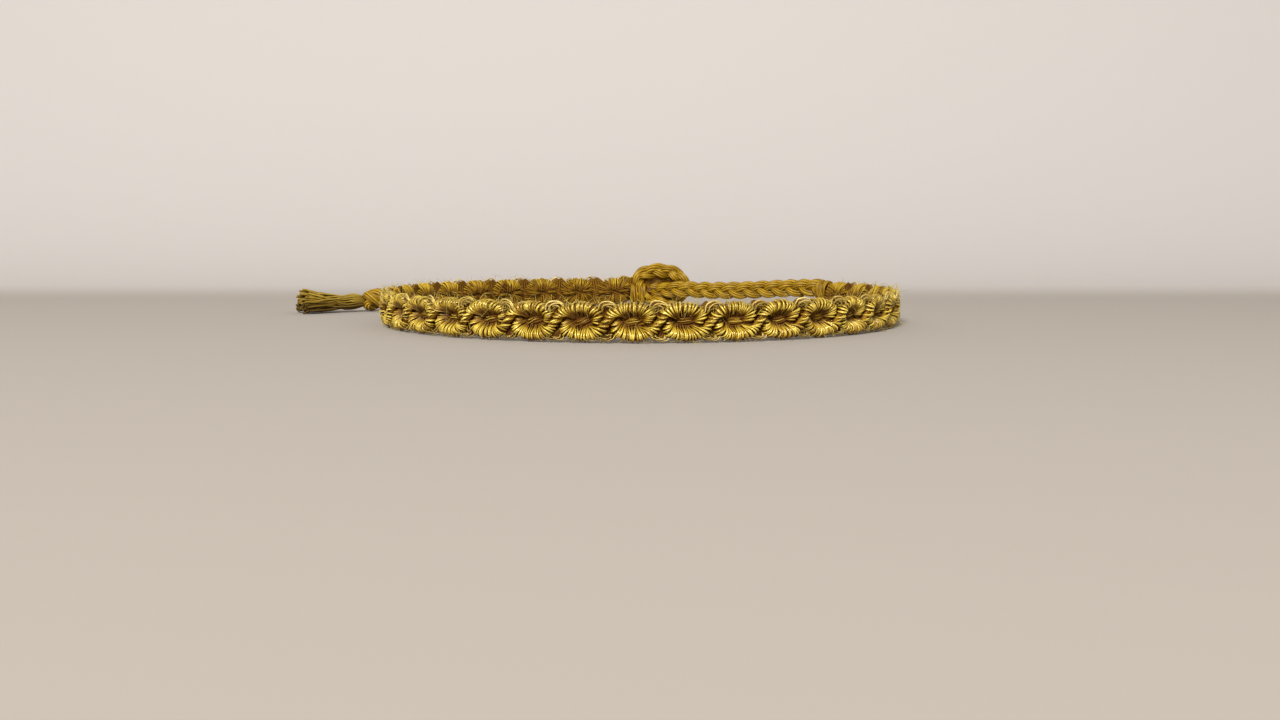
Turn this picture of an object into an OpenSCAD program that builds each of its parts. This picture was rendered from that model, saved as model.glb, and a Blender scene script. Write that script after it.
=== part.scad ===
// A knotted cotton bracelet, closed round and standing on its edge. Millimetres, +Z up.
// The front of the band faces -Y. The origin is on the surface it stands on, under its middle.

/* [Ring] */
// Radius from the ring's middle to the middle of the band's thickness
ring_r = 28.2; // [28:0.1:28.4]
// How far the ring's middle lies in front of the origin, which evens out the strap's end behind
ring_back = 0.7; // [0.5:0.1:0.9]

/* [Wave band] */
// Height of the band
band_h = 4.1; // [4:0.1:4.3]
// Angle round the ring of the eye nearest to the front
front_eye = -1.3; // [-2:0.1:0]
// Angle from one eye to the next at the front
eye_step = 9.74; // [9.7:0.01:9.76]
// Growth of that angle, eye by eye, towards both ends
step_growth = 0.02; // [0.015:0.001:0.02]
// Eyes on the left of the front one
eyes_left = 17; // [14:1:17]
// Eyes on the right of the front one
eyes_right = 12; // [11:1:12]
// Half the length of the rope ring round an eye, to the rope's middle
eye_a = 1.8; // [1.7:0.05:1.9]
// Half the height of that ring
eye_b = 1.2; // [1.1:0.05:1.25]
// Radius of the knotted rope
rope_r = 0.62; // [0.55:0.01:0.7]
// Half the thickness of the band where no rope stands out
web_t = 0.4; // [0.35:0.05:0.5]
// How far the rope stands out of the outer side
outer_relief = 0.8; // [0.6:0.05:0.8]
// How far the rope stands out of the inner side
inner_relief = 0.65; // [0.4:0.05:0.65]
// Depth of the notches along the upper and lower edge
edge_notch = 0.35; // [0.2:0.05:0.4]

/* [Closure loop] */
// Distance of the loop's middle from the back of the ring, along the ring to the right
loop_t = 2.95; // [2.95:0.01:3]
// Half the loop's width to the middle of its plait
loop_a = 3.1; // [3.1:0.01:3.12]
// Half the loop's height to the middle of its plait
loop_b = 2.05; // [2:0.01:2.1]
// Radius of the plait at the top of the loop
loop_top_r = 0.95; // [0.9:0.01:0.95]
// Radius of the plait at the foot of the loop, where it is pressed flat
loop_foot_r = 0.65; // [0.6:0.01:0.65]
// Half the thickness of the loop across the ring
loop_depth = 0.88; // [0.8:0.01:0.9]

/* [Strap and tail] */
// Height of the plaited strap where it leaves the band
strap_h = 2.5; // [2.3:0.05:2.6]
// Height of the strap where it is squeezed through the loop
strap_hole_h = 1.95; // [1.8:0.05:2]
// Thickness of the strap
strap_t = 1.65; // [1.5:0.05:1.7]
// Distance from one lobe of the plait to the next
lobe = 2; // [1.9:0.1:2.2]
// Diameter of the tail's plait
tail_d = 2.2; // [2:0.1:2.2]
// Half the width of the stopper knot
stopper_r = 2; // [1.8:0.05:2.05]
// Half the width of the knot at the end of the tail
end_knot_r = 1.5; // [1.4:0.05:1.6]

/* [Tassel] */
// Length of the tassel from its binding to the cut ends
tassel_l = 7.8; // [7:0.1:8.5]
// Width of the tassel at its cut ends
tassel_w = 5; // [4:0.1:5.5]
// Thread locks in the tassel's lower layer
tassel_locks = 5; // [4:1:5]

/* [Hidden] */

ochre = "#a17c2f";
ochre_deep = "#8a6726";

// Stations along the band for each eye, and along a plait for each lobe
eye_stations = 8;
lobe_stations = 4;
// Corners round a plait, round a knot, round the tail and round a lock of the tassel
plait_sides = 10;
knot_sides = 12;
tail_sides = 8;
lock_sides = 6;
// Clear space between pieces that meet
gap = 0.1;

// A value that rises from 0 to 1 in a soft curve while x runs from 0 to 1
function soft(x) = let (c = min(max(x, 0), 1)) c * c * (3 - 2 * c);
function unit(v) = v / norm(v);
function ring_point(angle, r, z) = [r * sin(angle), -ring_back - r * cos(angle), z];
// The angle of a place that lies t along the ring from its back, to the right
function back_angle(t) = 180 - t / ring_r * 180 / PI;

// A closed skin over rings of points, with flat ends, or joined end to end
module skin(rings, joined = false) {
    n = len(rings);
    k = len(rings[0]);
    last = joined ? n - 1 : n - 2;
    sides = [for (i = [0 : last], j = [0 : k - 1])
        let (
            this_ring = i * k,
            next_ring = (i + 1) % n * k,
            next = (j + 1) % k
        )
        each [
            [this_ring + j, next_ring + next, this_ring + next],
            [this_ring + j, next_ring + j, next_ring + next]
        ]];
    ends = joined ? [] : [[for (j = [0 : k - 1]) j], [for (j = [k - 1 : -1 : 0]) (n - 1) * k + j]];
    polyhedron(points = [for (ring = rings) each ring], faces = concat(sides, ends));
}

// A ring of points round p, square to dir, from pairs of [outward, upward] offsets
function section(p, dir, offsets) =
    let (out = unit(cross(dir, [0, 0, 1])), up = cross(out, dir))
    [for (o = offsets) p + out * o[0] + up * o[1]];

// The direction of a line of points at its point i
function along(line, i) = unit(line[min(i + 1, len(line) - 1)] - line[max(i - 1, 0)]);

// The angle round the ring of eye m, counted from the front one, and of any place between two eyes
function eye_angle(m) = front_eye + eye_step * m + step_growth * m * abs(m);
eye_pitch = eye_step * PI / 180 * ring_r;
band_first = -eyes_left - 0.5;
band_last = eyes_right + 0.5;

// How far the rope round an eye stands out at u along and v above the eye's middle, from 0 to 1
function rope_rise(u, v) =
    let (d = abs(norm([u / eye_a, v / eye_b]) - 1) * eye_b)
    d < rope_r ? sqrt(1 - pow(d / rope_r, 2)) : 0;

// The edge dips between the top of each eye and the small arch beside it, where part runs from -0.5
// to 0.5 over an eye
function edge_drop(part) = edge_notch * max(0, -cos(720 * part));

// The height above the eye's middle of the crest that runs from eye to eye, at u along from one
crest_reach = 1.2 * eye_a;
crest_low = 0.32 * eye_b;
function crest(u) = max(crest_low, eye_b * sqrt(max(0, 1 - pow(u / crest_reach, 2))));

// The band's section at m: its rows of points follow the crests, its thickness follows the ropes, and
// it is drawn in at both ends
end_thin = 0.7;
function band_section(m) =
    let (
        part = m - round(m),
        u = part * eye_pitch,
        full = end_thin + (1 - end_thin) * soft(2 * min(m - band_first, band_last - m)),
        edge = band_h / 2 - edge_drop(part),
        top = crest(u),
        shoulder = (top + edge) / 2,
        outer_rows = [shoulder, top, top / 2, 0, -top / 2, -top, -shoulder],
        inner_rows = [-shoulder, -0.8 * top, 0, 0.8 * top, shoulder]
    )
    [
        [web_t, edge],
        for (v = outer_rows) [(web_t + outer_relief * rope_rise(u, v)) * full, v],
        [web_t, -edge],
        [-web_t, -edge],
        for (v = inner_rows) [-(web_t + inner_relief * rope_rise(u, v)) * full, v],
        [-web_t, edge]
    ];

module wave_band() {
    steps = (band_last - band_first) * eye_stations;
    color(ochre) skin([for (i = [0 : steps])
        let (m = band_first + i / eye_stations)
        [for (o = band_section(m)) ring_point(eye_angle(m), ring_r + o[0], band_h / 2 + o[1])]]);
}

// Offsets round a plait, wide and high to its middle lobes, which swell above and below by turns
plait_relief = 0.08;
function plait_offsets(wide, high, s) =
    [for (j = [0 : plait_sides - 1])
        let (a = 360 * j / plait_sides, swell = 1 + plait_relief * cos(360 * s / lobe + 90 * (1 - cos(a))))
        [wide * sin(a), high * cos(a)] * swell];

// The loop is a plait folded back on itself: an oval in the band's own curved plane, leaning a little
// to the left at its top
loop_z = loop_foot_r * (1 + plait_relief) + loop_b;
loop_lean = -0.15;
loop_lobes = 8;
loop_out = [sin(back_angle(loop_t)), -cos(back_angle(loop_t)), 0];
function loop_r(a) = (loop_top_r + loop_foot_r) / 2 + (loop_top_r - loop_foot_r) / 2 * sin(a);
function loop_place(a) =
    let (z = loop_b * sin(a))
    ring_point(back_angle(loop_t + loop_a * cos(a) + loop_lean * z), ring_r, loop_z + z);

module closure_loop() {
    steps = loop_lobes * lobe_stations;
    color(ochre) skin([for (i = [0 : steps - 1])
        let (
            a = 360 * i / steps,
            in_plane = cross(loop_out, unit(loop_place(a + 1) - loop_place(a - 1)))
        )
        [for (o = plait_offsets(loop_depth, loop_r(a), lobe * i / lobe_stations))
            loop_place(a) + loop_out * o[0] + in_plane * o[1]]],
        joined = true);
}

// The strap runs from t = strap_from at the band's right end to t = strap_to at the stopper knot. It
// cuts the corner inside the ring, by turn_in, and then turns out through the loop's middle
strap_from = (180 - eye_angle(band_last)) * PI / 180 * ring_r - gap;
strap_to = 0.62;
turn_in = 2.1;
turn_l = 7.4;
inward_l = 14;
function strap_r(t) =
    t > loop_t
        ? ring_r - turn_in * soft((strap_from - t) / inward_l)
            + turn_in * (1 - cos(180 * max(0, (loop_t - t) / turn_l + 0.5)))
        : ring_r + turn_in * PI / turn_l * (loop_t - t);

// The strap's middle is high at the band, lower along the back, and rises again to the loop's hole
strap_band_z = 2.9;
strap_low_z = 2.05;
strap_hole_z = 2.5;
low_l = 17;
rise_from = 10;
rise_l = 7;
function strap_z(t) = strap_band_z + (strap_low_z - strap_band_z) * soft((strap_from - t) / low_l)
    + (strap_hole_z - strap_low_z) * soft((rise_from - t) / rise_l);
function strap_place(t) = ring_point(back_angle(t), strap_r(t), strap_z(t));

// The strap is squeezed from its full height to the hole's between these two places
squeeze_from = 12;
squeeze_to = 6;
function strap_height(t) =
    strap_h + (strap_hole_h - strap_h) * soft((squeeze_from - t) / (squeeze_from - squeeze_to));

module strap_braid() {
    steps = round((strap_from - strap_to) / lobe * lobe_stations);
    step = (strap_from - strap_to) / steps;
    line = [for (i = [0 : steps]) strap_place(strap_from - i * step)];
    color(ochre) skin([for (i = [0 : steps])
        section(line[i], along(line, i),
            plait_offsets(strap_t / 2, strap_height(strap_from - i * step) / 2, i * step))]);
}

// A tight overhand knot: a rounded lump with slanting turns, a little longer along its own cord
knot_long = 1.05;
knot_turns = 3;
turn_relief = 0.06;
module knot(r, dir) {
    waist = r / (1 + turn_relief);
    skin([for (lat = [-80 : 20 : 80])
        section(dir * (knot_long * r * sin(lat)), dir, [for (j = [0 : knot_sides - 1])
            let (a = 360 * j / knot_sides, swell = 1 + turn_relief * cos(knot_turns * a + 2 * lat))
            [sin(a), cos(a)] * (waist * cos(lat) * swell)])]);
}

// The stopper knot lies on the strap's own line, behind the loop
stopper_t = -0.9;
module stopper_knot() {
    place = strap_place(stopper_t);
    color(ochre_deep) translate(place) knot(stopper_r, unit(place - strap_place(loop_t)));
}

// The tail's route: out of the stopper knot, down onto the surface and round outside the band
tail_route = [
    [-2.9, 32.1, 2.4], [-4.4, 33, 2.1], [-6.3, 33.6, 1.6], [-8.5, 33.7, 1.2], [-10.8, 33.2, 1.1],
    [-13.2, 32.4, 1.1], [-15.6, 31.3, 1.1], [-18, 30, 1.1], [-20.3, 28.5, 1.1], [-22.5, 26.8, 1.1],
    [-24.6, 24.9, 1.1], [-26.6, 22.8, 1.1], [-28.4, 20.6, 1.1], [-30.3, 18.5, 1.2], [-32.2, 16.7, 1.4]
];

module tail_braid() {
    circle = [for (j = [0 : tail_sides - 1])
        let (a = 360 * j / tail_sides) [sin(a), cos(a)] * tail_d / 2];
    color(ochre) skin([for (i = [0 : len(tail_route) - 1])
        section(tail_route[i], along(tail_route, i), circle)]);
}

// The end knot lies on the surface just past the tail, and the tassel points away from the ring
tassel_angle = 205;
tassel_dir = [cos(tassel_angle), sin(tassel_angle), 0];
tail_end = tail_route[len(tail_route) - 1];
end_knot_reach = knot_long * end_knot_r + gap;
end_knot_place = [tail_end[0], tail_end[1], 0] + tassel_dir * end_knot_reach + [0, 0, end_knot_r];

module end_knot() {
    color(ochre_deep) translate(end_knot_place) knot(end_knot_r, tassel_dir);
}

// One lock of the tassel: it starts inside the bound head and spreads to its place at the cut end,
// side across and z above the surface
lock_r = 0.8;
head_r = 1.35;
module lock(side, z, l) {
    ring = [for (j = [0 : lock_sides - 1])
        let (a = 360 * (j + 0.5) / lock_sides) [sin(a), cos(a)] * lock_r];
    skin([for (x = [0 : 0.25 : 1])
        let (spread = 0.3 + 0.7 * soft(x), settle = soft(1.3 * x))
        section([head_r + (l - head_r) * x, side * spread, head_r + (z - head_r) * settle],
            [1, 0, 0], ring * (0.8 + 0.2 * x))]);
}

// A row of locks side by side, at height z, every other one cut a little shorter
cut_step = 0.4;
module lock_row(count, width, z, l) {
    for (i = [0 : count - 1])
        lock(width * (2 * i / (count - 1) - 1), z, l - cut_step * (i % 2));
}

module tassel() {
    start = end_knot_place + tassel_dir * end_knot_reach;
    room = tassel_w / 2 - lock_r;
    color(ochre) translate([start[0], start[1], 0]) rotate([0, 0, tassel_angle]) union() {
        translate([knot_long * head_r, 0, head_r]) knot(head_r, [1, 0, 0]);
        lock_row(tassel_locks, room, 0.9 * lock_r, tassel_l);
        lock_row(tassel_locks - 1, 0.8 * room, 2.4 * lock_r, tassel_l - 0.3);
        lock_row(tassel_locks - 3, 0.5 * room, 3.5 * lock_r, tassel_l - 0.9);
    }
}

wave_band();
closure_loop();
strap_braid();
stopper_knot();
tail_braid();
end_knot();
tassel();
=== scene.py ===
import math

import bpy
import numpy as np
from mathutils import Matrix


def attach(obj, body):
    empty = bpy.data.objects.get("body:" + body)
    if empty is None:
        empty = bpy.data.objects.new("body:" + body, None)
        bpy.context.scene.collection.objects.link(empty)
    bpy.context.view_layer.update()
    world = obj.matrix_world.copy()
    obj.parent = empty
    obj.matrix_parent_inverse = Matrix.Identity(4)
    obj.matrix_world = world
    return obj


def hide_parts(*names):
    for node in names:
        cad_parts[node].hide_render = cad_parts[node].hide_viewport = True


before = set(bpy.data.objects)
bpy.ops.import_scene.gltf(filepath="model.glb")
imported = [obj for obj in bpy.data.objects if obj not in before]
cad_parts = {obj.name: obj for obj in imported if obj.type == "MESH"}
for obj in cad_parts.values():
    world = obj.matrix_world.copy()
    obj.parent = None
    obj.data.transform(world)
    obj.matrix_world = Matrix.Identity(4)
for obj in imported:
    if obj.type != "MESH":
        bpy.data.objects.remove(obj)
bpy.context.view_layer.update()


# Camera
# The photograph's angle: low in front of the bracelet, looking a little down into the ring.
# Its horizon, its focal length in pixels and its distance give the place and the tilt.
IMAGE_WIDTH, IMAGE_HEIGHT = 1280, 720
FOCAL_PIXELS = 1290
HORIZON_ROW = 226
SENSOR_WIDTH = 36.0
CAMERA_PLACE = (0.0, -0.1477, 0.0108)

camera_data = bpy.data.cameras.new("camera")
camera_data.sensor_width = SENSOR_WIDTH
camera_data.lens = SENSOR_WIDTH * FOCAL_PIXELS / IMAGE_WIDTH
camera_data.clip_start, camera_data.clip_end = 0.01, 10.0
camera = bpy.data.objects.new("camera", camera_data)
camera.location = CAMERA_PLACE
looks_down = math.atan((IMAGE_HEIGHT / 2 - HORIZON_ROW) / FOCAL_PIXELS)
camera.rotation_euler = (math.radians(90) - looks_down, 0, 0)
bpy.context.scene.collection.objects.link(camera)
bpy.context.scene.camera = camera


# Closure loop
# The bracelet is started here: all its threads are plaited for a short way, and the plait is folded
# back on itself as the loop that the strap goes through. Mercerised cotton floss, closed at its foot
# by hitches round all the threads.

# The work is drawn in millimetres, and finished pieces are brought to metres
MM = 0.001
# The ring's middle radius, and how far in front of the origin its middle lies
RING_R, RING_FORWARD = 28.2, 0.7
THREAD_R = 0.17
# The loop's middle, along the ring from its back and up, and its half width and half height
LOOP_T, LOOP_Z, LOOP_A, LOOP_B = 2.85, 2.752, 3.2, 2.05
LOOP_LEAN = -0.15
SQUARER = 0.88
# The plait's width round the loop: its mean, and how much more at the top and less at the foot
LOOP_WIDTH, LOOP_SWELL = 0.82, 0.22
LOOP_START = math.radians(200)
LOOP_LOBES = 8
# A strand's own threads turn once round it in this length
STRAND_LAY = 14


def back_point(t, r, z):
    """A place that lies t along the ring from its back, to the right."""
    angle = math.pi - t / RING_R
    return np.stack([r * np.sin(angle), -RING_FORWARD - r * np.cos(angle), z + 0 * angle], axis=-1)


def unit(v):
    return v / np.linalg.norm(v, axis=-1, keepdims=True)


def run_along(line):
    """How far along a line each of its points lies."""
    return np.r_[0, np.cumsum(np.linalg.norm(np.diff(line, axis=0), axis=1))]


def at_run(line, where):
    """The points of a line at those distances along it."""
    run = run_along(line)
    return np.stack([np.interp(where, run, column) for column in line.T], axis=-1)


def plait(length, lobe, swing, depth, strand_r, threads, step=0.25, thread_r=THREAD_R):
    """The threads of a three-strand plait on the flat: (along, up, out) for each of them."""
    s = np.linspace(0, length, round(length / step) + 1)
    lines = []
    for strand in range(3):
        phase = 2 * math.pi * (s / (3 * lobe) + strand / 3)
        for k in range(threads):
            turn = 2 * math.pi * (k / threads + s / STRAND_LAY)
            lines.append(np.stack([
                s,
                swing * np.sin(phase) + (strand_r - thread_r) * np.cos(turn),
                depth * np.sin(2 * phase) + (strand_r - thread_r) * np.sin(turn),
            ], axis=-1))
    return lines


def follow(lines, centre, outward=None, squeeze=lambda s: 1.0):
    """Lays lines of (along, up, out) along a centre line. Out is level unless it is given."""
    run = run_along(centre)
    ahead = unit(np.gradient(centre, axis=0))
    out = unit(np.cross(ahead, [0, 0, 1])) if outward is None else np.tile(outward, (len(centre), 1))
    up = unit(np.cross(out, ahead))
    laid = []
    for line in lines:
        s = line[:, 0]
        at = [np.stack([np.interp(s, run, c) for c in x.T], axis=-1) for x in (centre, up, out)]
        laid.append(at[0] + at[1] * (line[:, 1] * squeeze(s))[:, None] + at[2] * line[:, 2:3])
    return laid


def add(tree, kind, inputs=(), **settings):
    """Adds a node with its settings, and links or fills its inputs, by place or by name."""
    made = tree.nodes.new(kind)
    for name, value in settings.items():
        setattr(made, name, value)
    for key, value in inputs.items() if isinstance(inputs, dict) else enumerate(inputs):
        if isinstance(value, bpy.types.Node):
            value = next(s for s in value.outputs if s.enabled)
        if isinstance(value, bpy.types.NodeSocket):
            tree.links.new(value, made.inputs[key])
        elif value is not None:
            made.inputs[key].default_value = value
    return made


def linear(code):
    """A colour written as sRGB hex, as the linear values that Blender works in."""
    parts = [int(code[i:i + 2], 16) / 255 for i in (1, 3, 5)]
    return [p / 12.92 if p <= 0.04045 else ((p + 0.055) / 1.055) ** 2.4 for p in parts] + [1.0]


def cotton(name, painted_shade, middle, light, roughness=0.45, shine=0.35, plies=3, bundles=5, lay_mm=2.4):
    """Mercerised cotton: a silky yarn of twisted plies, bright on its crests, partly by painted light, and
    brown between them by painted shade.
    Attributes "round" and "run" give a place round and along its thread, in millimetres along. A ply
    crosses a thread's side every 2.4 mm, with five bundles of fibres in it. That is coarser than in
    real floss, where a ply crosses about every millimetre, so that they show."""
    made = bpy.data.materials.new(name)
    made.use_nodes = True
    tree = made.node_tree
    tree.nodes.clear()
    around = add(tree, "ShaderNodeSeparateXYZ", [
        add(tree, "ShaderNodeAttribute", attribute_name="round").outputs["Vector"]])
    run = add(tree, "ShaderNodeAttribute", attribute_name="run").outputs["Fac"]
    tone = add(tree, "ShaderNodeAttribute", attribute_name="tone").outputs["Fac"]
    painted_shade_in = add(tree, "ShaderNodeAttribute", attribute_name="painted_shade").outputs["Fac"]
    angle = add(tree, "ShaderNodeMath", [around.outputs[1], around.outputs[0]], operation="ARCTAN2")
    # The crests of the plies, then of the bundles, as waves from 0 to 1
    waves = []
    for count in (plies, bundles * plies):
        turned = add(tree, "ShaderNodeMath", [angle, float(count)], operation="MULTIPLY")
        phase = add(tree, "ShaderNodeMath", [run, 2 * math.pi * count / (plies * lay_mm), turned],
                    operation="MULTIPLY_ADD")
        wave = add(tree, "ShaderNodeMath", [phase], operation="SINE")
        waves.append(add(tree, "ShaderNodeMath", [wave, 0.5, 0.5], operation="MULTIPLY_ADD"))
    # Streaks of lighter and darker dye, about 0.6 mm long
    streaks = add(tree, "ShaderNodeTexNoise", {
        "Vector": add(tree, "ShaderNodeCombineXYZ", [around.outputs[0], around.outputs[1], run]),
        "Scale": 1.6, "Detail": 3.0})
    height = add(tree, "ShaderNodeMath", [waves[1], 0.25, waves[0]], operation="MULTIPLY_ADD")
    # Painted light: each ply is drawn lighter on its crest, on top of the dye's streaks and the thread's
    # tone
    varied = add(tree, "ShaderNodeMath", [streaks, 0.35, add(
        tree, "ShaderNodeMath", [tone, 0.2, add(
            tree, "ShaderNodeMath", [height, 0.25], operation="MULTIPLY")],
        operation="MULTIPLY_ADD")], operation="MULTIPLY_ADD")
    # Painted shade: gaps up to 0.6 mm wide between threads, found by ambient occlusion, go brown, and so
    # does all that the painted shade attribute marks
    between = add(tree, "ShaderNodeAmbientOcclusion", {"Distance": 0.6 * MM}, samples=6)
    lit = add(tree, "ShaderNodeMath", [
        between.outputs["AO"],
        add(tree, "ShaderNodeMath", [painted_shade_in, -0.72, 1.0], operation="MULTIPLY_ADD")],
        operation="MULTIPLY")
    open_air = add(tree, "ShaderNodeMath", [lit, varied], operation="MULTIPLY")
    # The colours run from the one in painted shade, through the middle one, to the one in full light
    ramp = add(tree, "ShaderNodeValToRGB", [open_air])
    ramp.color_ramp.elements[0].position, ramp.color_ramp.elements[1].position = 0.04, 0.55
    ramp.color_ramp.elements[0].color = linear(painted_shade)
    ramp.color_ramp.elements[1].color = linear(light)
    half_way = ramp.color_ramp.elements.new(0.28)
    half_way.color = linear(middle)
    bump = add(tree, "ShaderNodeBump", {"Height": height, "Strength": 0.6, "Distance": 0.04 * MM})
    # Mercerised fibres shine, and their highlights keep the dye's warm tint
    shader = add(tree, "ShaderNodeBsdfPrincipled", {
        "Base Color": ramp.outputs["Color"], "Normal": bump, "IOR": 1.75,
        "Roughness": add(tree, "ShaderNodeMath", [painted_shade_in, 0.35, roughness], operation="MULTIPLY_ADD"),
        "Specular IOR Level": shine, "Specular Tint": linear("#ffeea8")})
    add(tree, "ShaderNodeOutputMaterial", {"Surface": shader})
    return made


def new_tree(name, sockets):
    """A geometry tree with a geometry input and output and the named inputs for its sizes."""
    tree = bpy.data.node_groups.new(name, "GeometryNodeTree")
    tree.interface.new_socket("Geometry", in_out="OUTPUT", socket_type="NodeSocketGeometry")
    for socket, kind in {"Geometry": "Geometry", **sockets, "Material": "Material"}.items():
        tree.interface.new_socket(socket, in_out="INPUT", socket_type="NodeSocket" + kind)
    return tree, add(tree, "NodeGroupInput").outputs


def end_tree(tree, geometry, material):
    """Every tree ends with real geometry in one material."""
    real = add(tree, "GeometryNodeRealizeInstances", [geometry])
    dressed = add(tree, "GeometryNodeSetMaterial", {"Geometry": real, "Material": material})
    add(tree, "NodeGroupOutput", [dressed])
    return tree


def thread_tree():
    """Spins a round thread along each line of edges, as thick as its points say."""
    tree, given = new_tree("spin threads", {"Thread radius": "Float", "Sides": "Int"})
    lines = add(tree, "GeometryNodeStoreNamedAttribute", {
        "Geometry": add(tree, "GeometryNodeMeshToCurve", [given["Geometry"]]), "Name": "run",
        "Value": add(tree, "GeometryNodeSplineParameter").outputs["Length"]})
    circle = add(tree, "GeometryNodeStoreNamedAttribute", {
        "Geometry": add(tree, "GeometryNodeCurvePrimitiveCircle",
                        {"Resolution": given["Sides"], "Radius": 1.0}),
        "Name": "round", "Value": add(tree, "GeometryNodeInputPosition")},
        data_type="FLOAT_VECTOR")
    thick = add(tree, "ShaderNodeMath", [
        add(tree, "GeometryNodeInputNamedAttribute", {"Name": "thick"}, data_type="FLOAT"),
        given["Thread radius"]], operation="MULTIPLY")
    tubes = add(tree, "GeometryNodeCurveToMesh", {
        "Curve": lines, "Profile Curve": circle, "Scale": thick, "Fill Caps": True})
    return end_tree(tree, tubes, given["Material"])


def grow(name, mesh, tree, sizes):
    """Runs a tree on a mesh and returns the plain mesh object that it makes."""
    made = bpy.data.objects.new(name, mesh)
    bpy.context.scene.collection.objects.link(made)
    live = made.modifiers.new("work", "NODES")
    live.node_group = tree
    for item in tree.interface.items_tree:
        if item.in_out == "INPUT" and item.name in sizes:
            live[item.identifier] = sizes[item.name]
    made.data = bpy.data.meshes.new_from_object(
        made.evaluated_get(bpy.context.evaluated_depsgraph_get()))
    made.modifiers.clear()
    made.data.name = name
    made.data.polygons.foreach_set("use_smooth", [True] * len(made.data.polygons))
    return made


def guides(name, lines, closed=False, thick=None, tones=None):
    """The lines that threads are spun along, as loose edges, with how thick and how light each is."""
    counts = [len(line) for line in lines]
    edges, start = [], 0
    for count in counts:
        edges += [(start + i, start + (i + 1) % count) for i in range(count if closed else count - 1)]
        start += count
    mesh = bpy.data.meshes.new(name + "_guides")
    mesh.from_pydata(np.concatenate(lines).tolist(), edges, [])
    if thick is None:
        thick = [np.ones(count) for count in counts]
    if tones is None:
        tones = np.random.default_rng(len(lines)).random(len(lines))
    mesh.attributes.new("thick", "FLOAT", "POINT").data.foreach_set("value", np.concatenate(thick))
    mesh.attributes.new("tone", "FLOAT", "POINT").data.foreach_set("value", np.repeat(tones, counts))
    return mesh


spin = thread_tree()


def to_metres(made):
    made.data.transform(Matrix.Scale(MM, 4))
    return made


def floss(name, lines, material, thread_r=THREAD_R, sides=6, **how):
    """A piece made of threads along lines that are already in place, in millimetres."""
    return to_metres(grow(name, guides(name, lines, **how), spin, {
        "Thread radius": thread_r, "Sides": sides, "Material": material}))


def round_loop(turn, inset=0.0, back=0.0):
    """A loop of the closure's shape: a leaning oval with slightly square shoulders."""
    x, z = [np.sign(v) * abs(v) ** SQUARER for v in (np.cos(turn), np.sin(turn))]
    rise = (LOOP_B - inset) * z
    return back_point(LOOP_T + (LOOP_A - inset) * x + LOOP_LEAN * rise, RING_R + back, LOOP_Z + rise)


loop_line = round_loop(np.linspace(0, 2 * math.pi, 241) + LOOP_START)
loop_outward = back_point(LOOP_T, 1.0, 0) - back_point(LOOP_T, 0.0, 0)
loop_length = run_along(loop_line)[-1]
# Floss plaited hard: silky, ochre on the crests of its threads and brown between them by painted shade
plaited_cotton = cotton("mercerised_cotton_plait", "#502a00", "#7e5c04", "#b08a1a")
closure_loop = floss("closure_loop_plait", follow(
    plait(loop_length, lobe=loop_length / LOOP_LOBES, swing=0.43, depth=0.34, strand_r=0.58, threads=8),
    loop_line, loop_outward,
    lambda s: LOOP_WIDTH + LOOP_SWELL * np.sin(s / loop_length * 2 * math.pi + LOOP_START)),
    plaited_cotton)

# The threads on the loop's inner side, in its shade, drawn dark with painted shade: how far in from its
# line and behind it each lies
INNER_RINGS = ((0.9, 0.4), (1.15, 0.5), (1.4, 0.6), (1.6, 0.7))
INNER_THREAD_R, INNER_PAINTED_SHADE = 0.24, -1.15

# The same floss where other threads shade it: browner, and duller
shadow_cotton = cotton("mercerised_cotton_in_shadow", "#4c2400", "#966f08", "#d2b234", 0.5, 0.3)
inner_turn = np.linspace(0, 2 * math.pi, 61)[:-1]
inner_lines = [round_loop(inner_turn, inset, back) for inset, back in INNER_RINGS]
loop_inner = floss("closure_loop_inner_threads", inner_lines, shadow_cotton, INNER_THREAD_R,
                   closed=True, tones=[INNER_PAINTED_SHADE] * len(inner_lines))
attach(loop_inner, "root")

# Hitches round all the threads close the loop's foot, and the same hold the strap's first turns
HITCH_STEP, HITCH_R = 0.26, 0.15
HITCH_SWELL, HITCH_WOBBLE, HITCH_PAINTED_SHADE = 0.05, 0.09, -0.5


def hitches(name, first, last, r, low, high, thick):
    """Turns of one thread round a flat bundle that runs along the ring at its back."""
    turn = np.linspace(0, 2 * math.pi, 25)[:-1]
    middle, half = (low + high) / 2, (high - low) / 2 - HITCH_R
    lines = []
    for k in range(round((last - first) / HITCH_STEP)):
        swell = 1 + HITCH_SWELL * math.sin(5.3 * k)
        lines.append(back_point(first + HITCH_STEP * k + HITCH_WOBBLE * np.sin(turn + k),
                                r + thick * swell * np.cos(turn), middle + half * swell * np.sin(turn)))
    # Painted shade: the hitches are drawn in the shaded floss, in a darker tone
    return floss(name, lines, shadow_cotton, HITCH_R, closed=True, tones=[HITCH_PAINTED_SHADE] * len(lines))


loop_hitches = hitches("closure_loop_hitches", first=-1.2, last=0.75, r=RING_R, low=0.1, high=3.15,
                       thick=0.75)
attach(loop_hitches, "root")
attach(closure_loop, "root")
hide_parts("closure_loop")


# Wave band
# The knotted part: cords worked over with half hitches, fifty to a rope. Each rope of stitches
# swings from under one eye, up between the two, and over the next. Cotton floss, with small threads
# that arch over the gaps along both edges.

# The height of the band's middle, how far it has sunk, and the lowest that a thread lies
BAND_MID, SAG, REST = 2.05, 0.06, 0.02
# The front eye's place, the step from eye to eye there and its growth away from it, in degrees
FRONT_EYE, EYE_STEP, STEP_GROWTH = -1.3, 9.74, 0.02
EYE_PITCH = math.radians(EYE_STEP) * RING_R
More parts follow.
